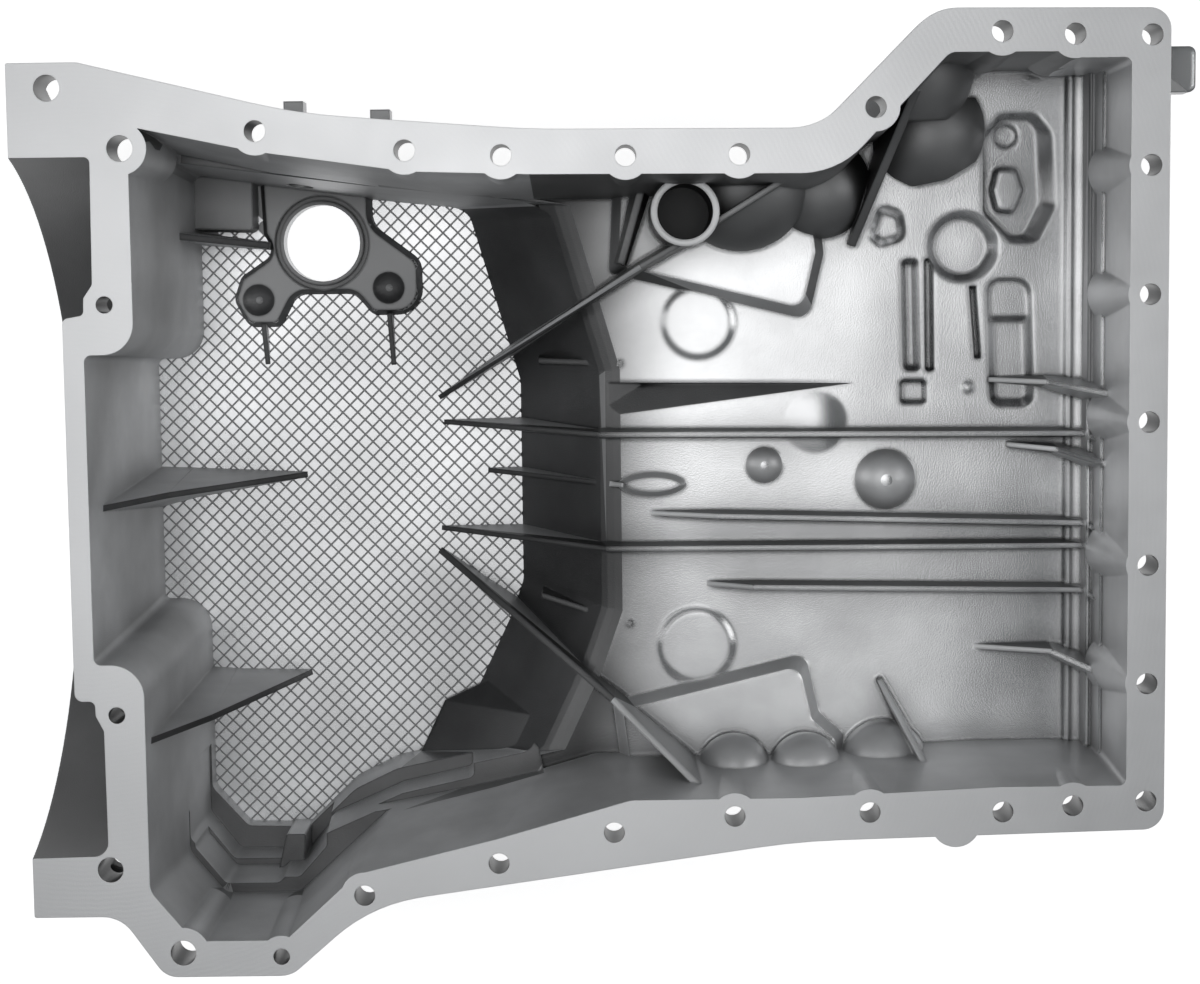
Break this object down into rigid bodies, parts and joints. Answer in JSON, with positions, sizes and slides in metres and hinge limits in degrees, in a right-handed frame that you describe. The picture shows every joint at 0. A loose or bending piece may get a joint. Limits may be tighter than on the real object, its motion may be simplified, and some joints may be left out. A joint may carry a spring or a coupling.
{
  "type": "engine oil pan",
  "caption": "Cast aluminium engine oil pan with a deep rear sump, a shallow ribbed front tray, a bolted gasket flange and a rear joint for the transmission housing.",
  "frame": {"origin": "on the gasket face, in the middle of the rear rail, where the vertical plane through the crankshaft crosses it", "axes": "+X towards the front of the engine, +Z out of the gasket face towards the engine block, +Y completes the right-handed frame towards the side with the wider bay"},
  "size_m": [0.4922, 0.4017, 0.1295],
  "materials": {
    "cast_aluminium": "satin"
  },
  "bodies": {
    "root": {"oil_pan": "cast_aluminium"}
  },
  "joints": []
}
